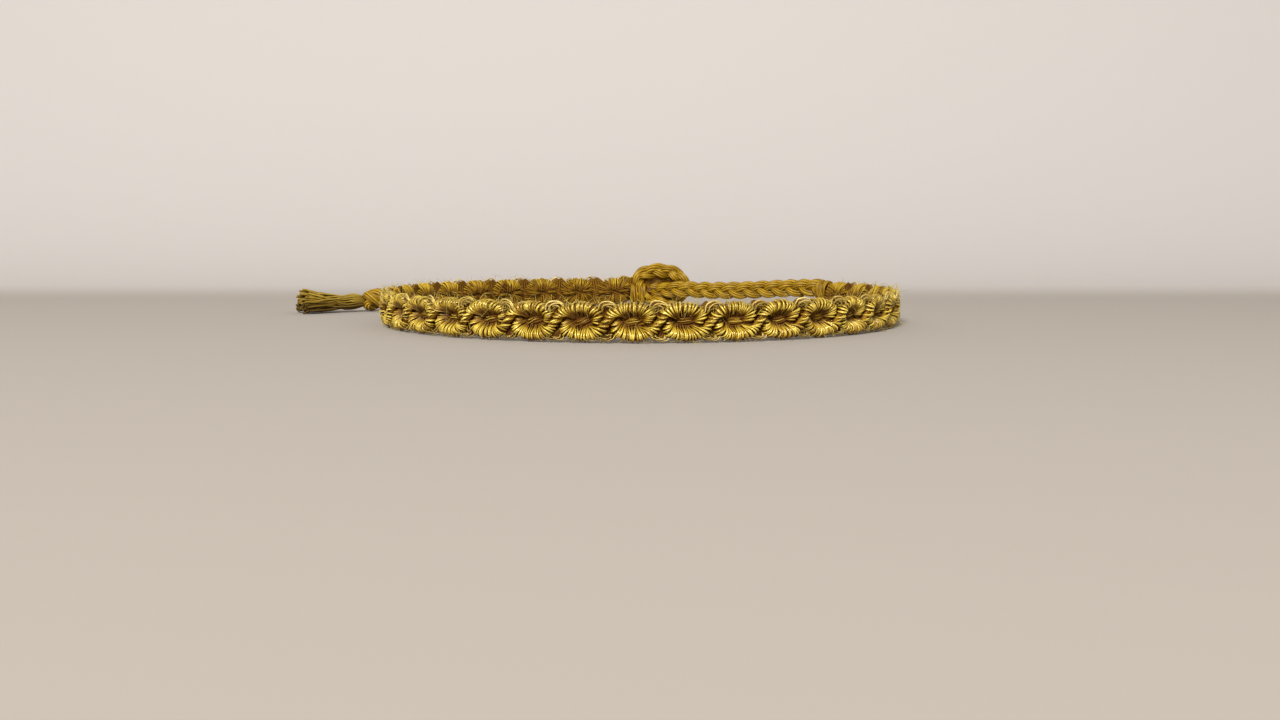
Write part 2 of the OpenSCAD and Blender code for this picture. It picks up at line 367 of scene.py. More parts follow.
# The band's two ends and the joint of its two pieces of stitches, in eyes from the front one
BAND_FIRST, BAND_LAST, BAND_MIDDLE = -17.5, 12.5, -2.5
FIRST_WAVE, WAVES = -18.0, 31
STITCHES, STITCH_R = 50, 0.09
# How far a stitch reaches from its rope's middle: outward, at the crossing, and towards the eye
STITCH_OUT, STITCH_MID, STITCH_REACH = 0.44, 0.72, 1.12
# Half of the length that the one stitch is drawn with
HALF_BASE = 0.65
# The slant of the stitches between two eyes, and how far from there it has turned towards an eye
LEAN, CROSSING = math.radians(30), 0.8
# How far to either side of an eye's middle its stitches point, and how far short of it they end
AIM, SHORT_OF_EYE = 0.4, 0.12
LEAST_GAP, CROSSING_GAP = 0.42, 0.05
# An eye's dark oval, and where its middle lies
EYE_WIDE, EYE_TALL, EYE_SHIFT, EYE_RISE = 1.25, 0.84, -0.15, 0.15
# What lies farther in than this is on the band's inside
INSIDE_FROM = -0.1

# A rope's middle from the place between two eyes to its hidden end beside the next eye: along, up,
# outward. The other half is the same turned half round.
ROPE = [
    (0.0, 0.0, 0.4), (0.22, 0.24, 0.38), (0.45, 0.52, 0.34), (0.7, 0.84, 0.28), (1.12, 1.16, 0.2),
    (1.75, 1.32, 0.12), (2.6, 1.34, 0.08), (3.3, 1.22, 0.08), (3.88, 0.94, 0.06), (4.08, 0.55, 0.0),
    (4.0, 0.15, -0.15), (3.85, -0.15, -0.45),
]


def through(points, count, fine_steps=600):
    """A smooth line through a short table of points, cut into equal steps."""
    p = np.asarray(points, float)
    p = np.vstack([2 * p[0] - p[1], p, 2 * p[-1] - p[-2]])
    t = np.linspace(0, len(points) - 1 - 1e-9, fine_steps)
    i, f = t.astype(int), (t % 1)[:, None]
    a, b, c, d = p[i], p[i + 1], p[i + 2], p[i + 3]
    fine = (2 * b + (c - a) * f + (2 * a - 5 * b + 4 * c - d) * f ** 2
            + (3 * b - 3 * c + d - a) * f ** 3) / 2
    return at_run(fine, np.linspace(0, run_along(fine)[-1], count))


def soft(x):
    """A value that rises from 0 to 1 in a soft curve while x runs from 0 to 1."""
    x = np.clip(x, 0, 1)
    return x * x * (3 - 2 * x)


def round_the_wrist(made, least_shade=0.0, most_shade=2.0):
    """Bends flat work, (along, up, out) in millimetres from the front eye, round the wrist. An attribute
    of painted shade is high in an eye, on the inside of the band and along its edges. A second
    material, where there is one, is the shaded floss and goes on the faces inside the band as painted
    shade."""
    flat = np.empty(len(made.data.vertices) * 3)
    made.data.vertices.foreach_get("co", flat)
    along, up, out = flat.reshape(-1, 3).T
    m = along / EYE_PITCH
    from_eye = np.hypot(((m - np.round(m)) * EYE_PITCH - EYE_SHIFT) / EYE_WIDE, (up - EYE_RISE) / EYE_TALL)
    # Painted shade: an eye is darkest in a ring and a little lighter in its middle, the inside darkens
    # downwards, and the edges are a little darker
    eye_shade = soft((1.25 - from_eye) / 0.45) * (1 - 0.35 * soft((0.55 - from_eye) / 0.3))
    inside = soft((INSIDE_FROM - out) / 0.4) * (0.1 + 0.78 * soft((1.75 - up) / 1.3))
    edge_shade = 0.3 * soft((abs(up) - 1.5) / 0.25)
    made.data.attributes.new("painted_shade", "FLOAT", "POINT").data.foreach_set(
        "value", np.clip(np.maximum.reduce([eye_shade, inside, edge_shade]), least_shade, most_shade))
    # Faces inside the band take the shaded copy of the floss: painted shade
    if len(made.data.materials) > 1:
        corners = np.empty(len(made.data.loops), int)
        made.data.loops.foreach_get("vertex_index", corners)
        starts = np.empty(len(made.data.polygons), int)
        made.data.polygons.foreach_get("loop_start", starts)
        made.data.polygons.foreach_set(
            "material_index", (out[corners[starts]] < INSIDE_FROM).astype(int))
    angle = np.radians(FRONT_EYE + EYE_STEP * m + STEP_GROWTH * m * abs(m))
    r, z = RING_R + out, np.maximum(BAND_MID - SAG + up, REST)
    made.data.vertices.foreach_set("co", np.stack(
        [r * np.sin(angle), -RING_FORWARD - r * np.cos(angle), z], axis=-1).ravel())
    return to_metres(made)


def repeat_tree():
    """Puts one piece of work at every place of one wave, and repeats that wave along the band. The
    piece's own Y axis points along each place's "inward", and "half" stretches it that way. Each copy
    wanders, turns and gets its shade by its seed, and a slow noise ruffles neighbours together."""
    tree, given = new_tree("repeat along the band", {
        "Work": "Object", "First wave": "Float", "Waves": "Int", "Wave pitch": "Float",
        "Band start": "Float", "Band end": "Float", "Wander": "Vector", "Sway": "Float",
        "Ruffle": "Float", "Darkest": "Float", "Lightest": "Float", "Seed": "Int"})
    start = add(tree, "ShaderNodeMath", [given["First wave"], given["Wave pitch"]],
                operation="MULTIPLY")
    waves = add(tree, "GeometryNodeMeshLine", {
        "Count": given["Waves"], "Start Location": add(tree, "ShaderNodeCombineXYZ", [start]),
        "Offset": add(tree, "ShaderNodeCombineXYZ", [given["Wave pitch"]])})
    places = add(tree, "GeometryNodeRealizeInstances", [add(
        tree, "GeometryNodeInstanceOnPoints", {"Points": waves, "Instance": given["Geometry"]})])
    along = add(tree, "ShaderNodeSeparateXYZ", [add(tree, "GeometryNodeInputPosition")])
    early = add(tree, "FunctionNodeCompare", {"A": along, "B": given["Band start"]},
                operation="LESS_THAN")
    late = add(tree, "FunctionNodeCompare", {"A": along, "B": given["Band end"]},
               operation="GREATER_THAN")
    kept = add(tree, "GeometryNodeDeleteGeometry", [
        places, add(tree, "FunctionNodeBooleanMath", [early, late], operation="OR")])
    minus = add(tree, "ShaderNodeVectorMath", {0: given["Wander"], "Scale": -1.0}, operation="SCALE")
    wander = add(tree, "FunctionNodeRandomValue", {
        0: minus, 1: given["Wander"], "Seed": given["Seed"]}, data_type="FLOAT_VECTOR")
    moved = add(tree, "GeometryNodeSetPosition", {"Geometry": kept, "Offset": wander})
    inward = add(tree, "FunctionNodeAlignRotationToVector", {"Vector": add(
        tree, "GeometryNodeInputNamedAttribute", {"Name": "inward"}, data_type="FLOAT_VECTOR")},
        axis="Y", pivot_axis="Z")
    back = add(tree, "ShaderNodeMath", [given["Sway"], -1.0], operation="MULTIPLY")
    sway = add(tree, "FunctionNodeRandomValue", {
        2: back, 3: given["Sway"], "Seed": add(tree, "ShaderNodeMath", [given["Seed"], 1.0])})
    turned = add(tree, "FunctionNodeRotateRotation", [inward, add(
        tree, "FunctionNodeEulerToRotation", [add(tree, "ShaderNodeCombineXYZ", [None, sway, sway])])],
        rotation_space="LOCAL")
    half = add(tree, "GeometryNodeInputNamedAttribute", {"Name": "half"}, data_type="FLOAT")
    work = add(tree, "GeometryNodeObjectInfo", [given["Work"]]).outputs["Geometry"]
    put = add(tree, "GeometryNodeInstanceOnPoints", {
        "Points": moved, "Instance": work, "Rotation": turned,
        "Scale": add(tree, "ShaderNodeCombineXYZ", [1.0, half, 1.0])})
    shades = add(tree, "FunctionNodeRandomValue", {
        2: given["Darkest"], 3: given["Lightest"],
        "Seed": add(tree, "ShaderNodeMath", [given["Seed"], 2.0])})
    shaded = add(tree, "GeometryNodeRealizeInstances", [add(
        tree, "GeometryNodeStoreNamedAttribute", {
            "Geometry": put, "Name": "shade", "Value": shades}, domain="INSTANCE")])
    own, shade = (add(tree, "GeometryNodeInputNamedAttribute", {"Name": name}, data_type="FLOAT")
                  for name in ("tone", "shade"))
    toned = add(tree, "GeometryNodeStoreNamedAttribute", {
        "Geometry": shaded, "Name": "tone",
        "Value": add(tree, "ShaderNodeMath", [own, shade], operation="ADD")})
    # Its scale is in millimetres: the ruffling changes over about 0.9 mm
    noise = add(tree, "ShaderNodeTexNoise", {"Scale": 1.1, "Detail": 1.0})
    centred = add(tree, "ShaderNodeVectorMath", [noise.outputs["Color"], (0.5, 0.5, 0.5)],
                  operation="SUBTRACT")
    ruffle = add(tree, "ShaderNodeVectorMath", {0: centred, "Scale": given["Ruffle"]},
                 operation="SCALE")
    ruffled = add(tree, "GeometryNodeSetPosition", {"Geometry": toned, "Offset": ruffle})
    return end_tree(tree, ruffled, given["Material"])


repeat = repeat_tree()


def along_band(name, work, places, inward, half, material, seed, wander=(0, 0, 0), sway=0.0,
               span=(BAND_FIRST, BAND_LAST), ruffle=0.12, tones=(-0.5, 0.5), least_shade=0.0, most_shade=2.0,
               inside=None):
    """Repeats a piece of flat work at those places of every wave, and bends it round the wrist."""
    mesh = bpy.data.meshes.new(name + "_places")
    mesh.from_pydata(np.asarray(places, float).tolist(), [], [])
    mesh.attributes.new("inward", "FLOAT_VECTOR", "POINT").data.foreach_set(
        "vector", np.asarray(inward, float).ravel())
    mesh.attributes.new("half", "FLOAT", "POINT").data.foreach_set("value", np.asarray(half, float))
    made = grow(name, mesh, repeat, {
        "Work": work, "First wave": FIRST_WAVE, "Waves": WAVES, "Wave pitch": EYE_PITCH,
        "Band start": span[0] * EYE_PITCH, "Band end": span[1] * EYE_PITCH,
        "Wander": wander, "Sway": sway, "Ruffle": ruffle, "Darkest": tones[0], "Lightest": tones[1],
        "Seed": seed, "Material": material})
    # A shaded copy of the floss, for painted shade, can go on the faces inside the band
    if inside:
        made.data.materials.append(inside)
    # The painted shade is kept within the given bounds
    return round_the_wrist(made, least_shade, most_shade)


def flat_work(name, lines, material, thread_r=THREAD_R, sides=6, **how):
    """Threads on the flat, still in millimetres, to be repeated along the band."""
    return grow(name, guides(name, lines, **how), spin, {
        "Thread radius": thread_r, "Sides": sides, "Material": material})


# The same floss in tight hitches: it is smoothed by the pull, and each stitch shines along its crest
knotted_cotton = cotton("mercerised_cotton_floss", "#5c2600", "#946e04", "#e2c44c", 0.26, 0.9)

# One rope of a wave starts beside eye 0 and ends beside eye 1; its middle is half a pitch along
right = through(ROPE, 300)
left = right[::-1] * [-1, -1, 1]
rope = np.concatenate([left[:-1], right])
rope_run = run_along(rope)
middle = rope_run[-1] / 2


def stitch_ways(at):
    """Where stitches at those runs along the rope sit, which way they point, and how far the eye is."""
    place = at_run(rope, at)
    side = np.where(at < middle, -1.0, 1.0)
    eye = side * EYE_PITCH / 2
    aimed = eye + np.clip(place[:, 0] - eye, EYE_SHIFT - AIM, EYE_SHIFT + AIM)
    to_goal = np.stack([aimed, 0 * eye], axis=-1) - place[:, :2]
    leaning = side[:, None] * [math.cos(LEAN), math.sin(LEAN)]
    blend = soft(abs(place[:, 0]) / CROSSING)[:, None]
    return place, unit(leaning * (1 - blend) + unit(to_goal) * blend), np.linalg.norm(to_goal, axis=1)


# Slanting stitches lie farther apart along the rope, so that all keep the same gap between them
fine = np.linspace(0, rope_run[-1], 800)
ahead = unit(np.gradient(at_run(rope, fine), axis=0)[:, :2])
ways = stitch_ways(fine)[1]
gap = np.maximum(abs(ahead[:, 0] * ways[:, 1] - ahead[:, 1] * ways[:, 0]), LEAST_GAP)
gap *= 1 + CROSSING_GAP * (1 - soft(abs(at_run(rope, fine)[:, 0]) / CROSSING))
gaps = np.cumsum(gap) - gap / 2
place, inward, far = stitch_ways(np.interp((np.arange(STITCHES) + 0.5) * gaps[-1] / STITCHES, gaps, fine))

# From the crossing on, a stitch's outer side shortens over 0.9 mm. Its inner side grows between
# 0.15 and 0.75 mm from it, until it ends just short of the eye's middle.
outer = STITCH_MID + (STITCH_OUT - STITCH_MID) * soft(abs(place[:, 0]) / 0.9)
reach = outer + (np.clip(far - SHORT_OF_EYE, STITCH_OUT, STITCH_REACH) - STITCH_OUT) * soft(
    (abs(place[:, 0]) - 0.15) / 0.6)
stitch_place = place + np.c_[inward * ((reach - outer) / 2)[:, None], 0 * reach]
stitch_place[:, 0] += EYE_PITCH / 2

# One stitch, wrapped round the rope: across it from its outer edge to the eye, and outward
STITCH = [
    (-0.64, -0.15), (-0.6, 0.2), (-0.47, 0.46), (-0.26, 0.58), (-0.06, 0.44), (0.12, 0.14), (0.34, -0.22),
    (0.64, -0.56), (0.5, -0.74), (0.05, -0.8), (-0.36, -0.62), (-0.58, -0.42),
]
STITCH_POINTS = 18
# Its thread is pulled thinner where it dips into the eye, and slants a little round the rope
TIP_THINNER, STITCH_SLANT = 0.4, 0.12
ring = through([(0, *p) for p in STITCH * 3], 3 * STITCH_POINTS + 1)[STITCH_POINTS:2 * STITCH_POINTS]
tip = soft((ring[:, 1] + 0.05) / 0.5) * (ring[:, 2] > -0.7)
stitch = flat_work("stitch", [ring + np.c_[STITCH_SLANT * ring[:, 2], 0 * ring[:, :2]]],
                   knotted_cotton, STITCH_R, closed=True, thick=[1 - TIP_THINNER * tip])
# The faces inside the band take the shaded floss: painted shade
left_stitches, right_stitches = (along_band(
    "wave_band_stitches_" + name, stitch, stitch_place, np.c_[inward, 0 * reach],
    (reach + outer) / 2 / HALF_BASE, knotted_cotton, seed=11, wander=(0.03, 0.07, 0.08), sway=0.12,
    span=span, tones=(-0.55, 1.25), inside=shadow_cotton)
    for name, span in (("left", (BAND_FIRST, BAND_MIDDLE)), ("right", (BAND_MIDDLE, BAND_LAST))))

# The cord inside each rope, in the shaded floss with painted shade, which shows as brown between its
# stitches
CORE_R = 0.36
half_rope = through(ROPE, 16)
core = flat_work("core", [half_rope[::-1] * [-1, -1, 1] + [EYE_PITCH / 2, 0, 0],
                          half_rope + [EYE_PITCH / 2, 0, 0]], shadow_cotton, CORE_R, 8)
core_cord = along_band("wave_band_cords", core, [(0, 0, 0)], [(0, 1, 0)], [1], shadow_cotton,
                       seed=21, tones=(-0.1, 0.1), least_shade=0.78)

# The threads across an eye's middle: a low mound of eleven, in the shaded floss with painted shade, and
# three single ones, with little painted shade, that catch the light
MOUND, MOUND_WIDE, MOUND_TALL = 0.34, 0.65, 0.45
BELLY_R, STROKE_R = 0.14, 0.055


def mound(u, v):
    """How far an eye's middle stands out, at a place that lies u along and v up from it."""
    return MOUND * np.exp(-(u / MOUND_WIDE) ** 2 - (v / MOUND_TALL) ** 2)


belly_lines = []
for k, v in enumerate(np.linspace(-0.88, 0.88, 11)):
    u = np.linspace(-1.7, 1.7, 13)
    belly_lines.append(np.stack([
        u, v * (1 + 0.1 * u) + 0.045 * np.sin(2.2 * u + 9 * v), mound(u, v) - 0.5 - 0.12 * (k % 2)],
        axis=-1))
belly = flat_work("belly", belly_lines, shadow_cotton, BELLY_R, 5)
stroke_lines = []
for v in (-0.24, -0.02, 0.2):
    u = np.linspace(abs(v) - 0.62, 0.62 - abs(v), 7)
    stroke_lines.append(np.stack([
        u, v + 0.1 * u + 0.03 * np.sin(5 * u + 20 * v), mound(u, v) - 0.42 + 0.06 * np.cos(40 * v)],
        axis=-1))
strokes = flat_work("strokes", stroke_lines, knotted_cotton, STROKE_R, 5)
eye_threads = along_band("wave_band_eye_threads", belly, [(0, 0, 0)], [(-0.34, 0.94, 0)], [1],
                         shadow_cotton, seed=31, wander=(0.05, 0.05, 0.03), sway=0.25,
                         tones=(-1.3, 0.3), least_shade=0.68)
eye_strokes = along_band("wave_band_eye_strokes", strokes, [(0, 0, 0)], [(-0.1, 1, 0)], [1],
                         knotted_cotton, seed=37, wander=(0.1, 0.06, 0.02), sway=0.4,
                         tones=(-1.0, 1.4), most_shade=0.3)

# The threads that arch over the gap between two eyes, above and, turned half round, below. Each
# has a half width, a height and a shift, and its two ends run down behind the ropes.
ARCH_AT, ARCH_UP, ARCH_R = 0.51, 1.42, 0.068
ARCHES = ((0.42, 0.1, -0.06), (0.62, 0.3, 0.08), (0.82, 0.52, -0.03))

# The same floss in bare raised threads, drawn paler as painted light, since the light reaches them from
# all sides: the palest
lit_raised_cotton = cotton("mercerised_cotton_raised_thread_painted_light", "#6a4a08", "#c8a448", "#f4dc88", 0.28, 0.9)
arch_lines = []
for wide, high, shift in ARCHES:
    bow = np.linspace(0, math.pi, 9)
    top = np.stack([-wide * np.cos(bow), high * np.sin(bow) - shift * np.cos(bow),
                    0.62 + shift - 0.1 * (1 - np.sin(bow))], axis=-1)
    leg = np.array([(-1.2 * wide, -0.6, 0.1), (-1.08 * wide, -0.28, 0.42)])
    arch_lines.append(through(np.concatenate([leg, top, leg[::-1] * [-1, 1, 1]]), 15) + [shift, 0, 0])
arch = flat_work("arch", arch_lines, lit_raised_cotton, ARCH_R, 5)

# Behind each arch, threads fill the gap that the ropes leave, drawn in the shaded floss with dark tones:
# painted shade
VALLEY_R = 0.22
valley_lines = [np.stack([
    shift * np.array([1.4, 1.7, 1.5, 0.9, 0.5]), np.array([-1.8, -0.75, -0.05, 0.2, 0.33]),
    np.array([-0.25, -0.15, -0.15, -0.2, -0.2])], axis=-1) for shift in np.linspace(-0.5, 0.5, 6)]
valley = flat_work("valley", valley_lines, shadow_cotton, VALLEY_R, 5)
top_gap = (ARCH_AT * EYE_PITCH, ARCH_UP, 0)
top_arches = along_band("wave_band_arches", arch, [top_gap], [(0, 1, 0)], [1], lit_raised_cotton,
                        seed=41, wander=(0.16, 0.06, 0.06), sway=0.3, tones=(-1.2, 0.4), most_shade=0.1)
# Below, the arches take darker tones: painted shade
low_arches = along_band(
    "wave_band_low_arches", arch, [((1 - ARCH_AT) * EYE_PITCH, -ARCH_UP, -0.15)], [(0, -1, 0)], [0.6],
    lit_raised_cotton, seed=43, wander=(0.12, 0.03, 0.06), sway=0.15, tones=(-1.5, -0.3))
# Painted shade: dark tones and a high lowest bound on the shade keep these threads dark
valley_threads = along_band(
    "wave_band_valley_threads", valley, [top_gap, ((1 - ARCH_AT) * EYE_PITCH, -ARCH_UP, 0)],
    [(0, 1, 0), (0, -1, 0)], [1, 0.7], shadow_cotton, seed=51, wander=(0.03, 0.03, 0.03), sway=0.1,
    tones=(-1.2, -0.2), least_shade=0.92)

for helper in (stitch, core, belly, strokes, arch, valley):
    bpy.data.objects.remove(helper)
for made in (left_stitches, right_stitches, core_cord, eye_threads, eye_strokes, top_arches, low_arches,
             valley_threads):
    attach(made, "root")
    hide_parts("wave_band")


# Loose fibres
# Handling raises fine fibres from the cotton, mostly along the band's two edges. Each is one hair
# of the yarn, held by the twist, and drawn about twice as thick as the real one so that it shows.
FLYAWAYS, HUGGING, FIBRE_R = 450, 2600, 0.017
FIBRE_POINTS = 6

# Single hairs let light through, so they look pale
fibre_cotton = cotton("cotton_fibre_fluff", "#6a4c10", "#a88c34", "#e0c866")
rng = np.random.default_rng(8)
fibre_lines = []
for k in range(FLYAWAYS + HUGGING):
    edge = 1 if rng.random() < 0.7 else -1
    u = rng.uniform(BAND_FIRST + 0.2, BAND_LAST - 0.2) * EYE_PITCH
    if k < FLYAWAYS:
        # A hair that stands away from an edge
        root = np.array([u, edge * rng.uniform(1.3, 1.8), rng.uniform(0.0, 0.6)])
        heading = np.array([rng.normal(0, 1.0), edge * abs(rng.normal(0.45, 0.4)), rng.normal(0.2, 0.5)])
        length, curl = rng.uniform(0.6, 1.6), rng.normal(0, 0.9, 3)
    else:
        # A shorter one that lies close over the stitches
        root = np.array([u, edge * rng.uniform(1.05, 1.8), rng.uniform(0.3, 0.72)])
        heading = np.array([rng.normal(0, 1.0), rng.normal(0, 0.6), rng.normal(0.15, 0.2)])
        length, curl = rng.uniform(0.35, 0.9), rng.normal(0, 1.4, 3) * [1, 1, 0.4]
    t = np.linspace(0, length, FIBRE_POINTS)[:, None]
    line = root + unit(heading) * t + curl * t ** 2 * 0.4
    line[:, 1] = np.clip(line[:, 1], -BAND_MID + 0.03, BAND_MID + 0.4)
    fibre_lines.append(line)
fibres = grow("loose_fibres", guides("loose_fibres", fibre_lines, thick=[
    np.linspace(1, 0.5, FIBRE_POINTS)] * len(fibre_lines),
    tones=rng.uniform(0.5, 3.0, len(fibre_lines))), spin, {
        "Thread radius": FIBRE_R, "Sides": 3, "Material": fibre_cotton})
fibres = round_the_wrist(fibres, most_shade=0.0)
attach(fibres, "root")


# Strap
# The band's threads go on as a flat three-strand plait of the same floss, and hitches hold its first
# turns. It cuts the corner inside the ring and goes out through the loop's hole, squeezed there.

# The band's right end, in degrees from the front, and the strap's two ends along the ring
BAND_END = 123.575
STRAP_FROM, STRAP_TO = (180 - BAND_END) * math.pi / 180 * RING_R - 0.1, 0.62
# How far inside the ring it runs, over what length it comes back out, and over what it went in
TURN_IN, TURN_L, INWARD_L = 2.1, 7.4, 14
# Its height at the band, in between and in the hole, and where it falls and rises
STRAP_BAND_Z, STRAP_LOW_Z, STRAP_HOLE_Z = 3.0, 2.3, 2.5
LOW_L, RISE_FROM, RISE_L = 17, 10, 7
SQUEEZE_FROM, SQUEEZE_TO, SQUEEZED = 12, 6, 2.3 / 2.5
# It dips to the loop's foot
DIP, DIP_AT, DIP_L = 0.45, 2.2, 2.4


def strap_place(t):
    """The strap's middle at that length along the ring from its back."""
    before = RING_R - TURN_IN * soft((STRAP_FROM - t) / INWARD_L) + TURN_IN * (
        1 - np.cos(np.pi * np.maximum(0, (LOOP_T - t) / TURN_L + 0.5)))
    after = RING_R + TURN_IN * math.pi / TURN_L * (LOOP_T - t)
    z = (STRAP_BAND_Z + (STRAP_LOW_Z - STRAP_BAND_Z) * soft((STRAP_FROM - t) / LOW_L)
         + (STRAP_HOLE_Z - STRAP_LOW_Z) * soft((RISE_FROM - t) / RISE_L)
         - DIP * np.exp(-((t - DIP_AT) / DIP_L) ** 2))
    return back_point(t, np.where(t > LOOP_T, before, after), z)


def strap_squeeze(s):
    """How wide the strap still is, at that length along it."""
    return 1 + (SQUEEZED - 1) * soft((SQUEEZE_FROM - (STRAP_FROM - s)) / (SQUEEZE_FROM - SQUEEZE_TO))


strap_line = strap_place(np.linspace(STRAP_FROM, STRAP_TO, 240))
strap_length = run_along(strap_line)[-1]
strap_braid = floss("strap_braid_plait", follow(
    plait(strap_length, lobe=2.0, swing=0.62, depth=0.32, strand_r=0.56, threads=8), strap_line,
    squeeze=strap_squeeze), plaited_cotton)
strap_hitches = hitches("strap_braid_hitches", first=STRAP_FROM - 0.9, last=STRAP_FROM + 0.9,
                        r=RING_R - 0.1, low=1.3, high=3.95, thick=0.85)
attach(strap_hitches, "root")
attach(strap_braid, "root")
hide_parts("strap_braid")


# Stopper knot
# An overhand knot in the strap's own threads, of the same cotton, pulled tight behind the loop so
# that the strap can't slip back.
STOPPER_R, STOPPER_T = 2.0, -0.9
# A tight knot's length, and its bundle's radius, against the knot's radius
KNOT_LONG, KNOT_BUNDLE = 1.05, 0.36
# How far from the knot's axis the bundle runs: its mean, and how far it swings in and out
KNOT_MEAN, KNOT_SWING = 0.68, 0.32


def knot_threads(centre, direction, r, threads=7):
    """A tight knot's threads: a bundle that winds twice round its own cord and in and out thrice."""
    bundle = KNOT_BUNDLE * r
    turn = np.linspace(0, 2 * math.pi, 97)
    ring = (r - bundle) * (KNOT_MEAN + KNOT_SWING * np.cos(3 * turn))
    path = np.stack([(KNOT_LONG * r - bundle) * np.sin(3 * turn),
                     ring * np.cos(2 * turn), ring * np.sin(2 * turn)], axis=-1)
    ahead = unit(np.gradient(path, axis=0))
    out = unit(np.cross(ahead, path))
    other = np.cross(ahead, out)
    level = unit(np.cross([0, 0, 1], direction))
    axes = np.stack([direction, level, np.cross(direction, level)])
    lines = []
    for k in range(threads):
        around = 2 * math.pi * k / threads + 2 * turn
        offset = (bundle - THREAD_R) * (np.cos(around)[:, None] * out + np.sin(around)[:, None] * other)
        lines.append(centre + (path + offset)[:-1] @ axes)
    return lines


stopper_place = strap_place(STOPPER_T)
stopper_direction = unit(stopper_place - strap_place(LOOP_T))
stopper_knot = floss("stopper_knot_turns", knot_threads(stopper_place, stopper_direction, STOPPER_R),
                     plaited_cotton, closed=True)
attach(stopper_knot, "root")
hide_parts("stopper_knot")


# End knot and tassel
# A second overhand knot closes the plait, and past it the same cotton threads are cut and fluff out
# into a small tassel. Both lie on the surface.
END_KNOT_R = 1.5
TAIL_END = np.array([-32.2, 16.7])
TASSEL_ANGLE = math.radians(205)
TASSEL_L, TASSEL_W, TASSEL_THREADS, TASSEL_THREAD_R = 7.8, 5.0, 120, 0.13
# The bundle's radius and its height where it leaves the knot
BUNDLE_R, HEAD_R = 0.9, 1.35
# The lowest and the highest that the cut ends lie over the surface, and the lowest of any thread
ENDS_LOW, ENDS_HIGH, LOWEST = 0.2, 2.9, 0.14
TASSEL_POINTS, FRIZZ = 15, 0.16

tassel_direction = np.array([math.cos(TASSEL_ANGLE), math.sin(TASSEL_ANGLE), 0])
tassel_side = np.array([-tassel_direction[1], tassel_direction[0], 0])
end_reach = KNOT_LONG * END_KNOT_R + 0.1
end_place = np.r_[TAIL_END, 0] + tassel_direction * end_reach + [0, 0, END_KNOT_R]
end_knot = floss("end_knot_turns", knot_threads(end_place, tassel_direction, END_KNOT_R),
                 plaited_cotton, closed=True)


def paint_shade_downwards(made, light_at, dark_at):
    """Paints shade on a piece, darker downwards between those heights, in millimetres, through its painted
    shade attribute.
    """
    co = np.empty(len(made.data.vertices) * 3)
    made.data.vertices.foreach_get("co", co)
    made.data.attributes.new("painted_shade", "FLOAT", "POINT").data.foreach_set(
        "value", soft((light_at - co[2::3] / MM) / (light_at - dark_at)))


# Cut ends have lost their twist, so they are duller than the plait, with darker painted shade in the gaps
loose_cotton = cotton("loose_mercerised_cotton", "#301600", "#7c6016", "#b49638")
rng = np.random.default_rng(5)
tassel_lines = []
for _ in range(TASSEL_THREADS):
    # From a place in the round bundle to one in a flat fan, a across and h up, both as shares
    a, h = rng.uniform(-1, 1), rng.uniform(0, 1)
    top = ENDS_LOW + ENDS_HIGH * h * (1 - 0.45 * a * a)
    start_turn, start_r = rng.uniform(0, 2 * math.pi), BUNDLE_R * math.sqrt(rng.uniform(0, 1))
    y0, z0 = start_r * math.cos(start_turn), start_r * math.sin(start_turn)
    length = TASSEL_L * rng.uniform(0.86, 1.0)
    line = through([
        (-0.3, 0.6 * y0, HEAD_R + 0.6 * z0),
        (0.9, y0, HEAD_R + z0),
        (2.4, 0.95 * y0 + 0.45 * a, 1.25 + 0.9 * z0),
        (4.6, 1.5 * a + 0.4 * y0, 0.45 * (1.4 + 1.1 * z0) + 0.55 * top),
        (length, (TASSEL_W / 2 - 0.15) * a, top),
    ], TASSEL_POINTS)
    wave = np.sin(np.linspace(0, rng.uniform(5, 9), TASSEL_POINTS) + rng.uniform(0, 6))
    wave *= np.linspace(0, FRIZZ, TASSEL_POINTS)
    line[:, 1] += wave
    line[:, 2] = np.maximum(line[:, 2] + wave * rng.uniform(-1, 1), LOWEST)
    tassel_lines.append(line)
tassel_start = end_place + tassel_direction * end_reach
tassel_lines = [np.r_[tassel_start[:2], 0] + line[:, :1] * tassel_direction + line[:, 1:2] * tassel_side
                + line[:, 2:3] * [0, 0, 1] for line in tassel_lines]
tassel = floss("tassel_threads", tassel_lines, loose_cotton, TASSEL_THREAD_R, 5)
# Painted shade: the tassel darkens towards the surface that it lies on
paint_shade_downwards(tassel, light_at=1.9, dark_at=0.5)
for made, node, slot in ((end_knot, "end_knot", "plaited_cotton"), (tassel, "tassel", "loose_cotton")):
    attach(made, "root")
    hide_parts(node)


# Tail
# The plait goes on past the stopper knot as a loose tail of the same cotton. It drops to the surface
# behind the band and lies along it to the end knot. Its route repeats the part's source, in metres.
TAIL_ROUTE = [
    (-0.0029, 0.0321, 0.0024), (-0.0044, 0.0330, 0.0021), (-0.0063, 0.0336, 0.0016),
    (-0.0085, 0.0337, 0.0012), (-0.0108, 0.0332, 0.0011), (-0.0132, 0.0324, 0.0011),
    (-0.0156, 0.0313, 0.0011), (-0.0180, 0.0300, 0.0011), (-0.0203, 0.0285, 0.0011),
    (-0.0225, 0.0268, 0.0011), (-0.0246, 0.0249, 0.0011), (-0.0266, 0.0228, 0.0011),
    (-0.0284, 0.0206, 0.0011), (-0.0303, 0.0185, 0.0012), (-0.0322, 0.0167, 0.0014),
]

tail_line = through(np.array(TAIL_ROUTE) / MM, 160)
tail_length = run_along(tail_line)[-1]
tail_braid = floss("tail_braid_plait", follow(
    plait(tail_length, lobe=2.0, swing=0.6, depth=0.34, strand_r=0.48, threads=6), tail_line),
    plaited_cotton)
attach(tail_braid, "root")
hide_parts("tail_braid")


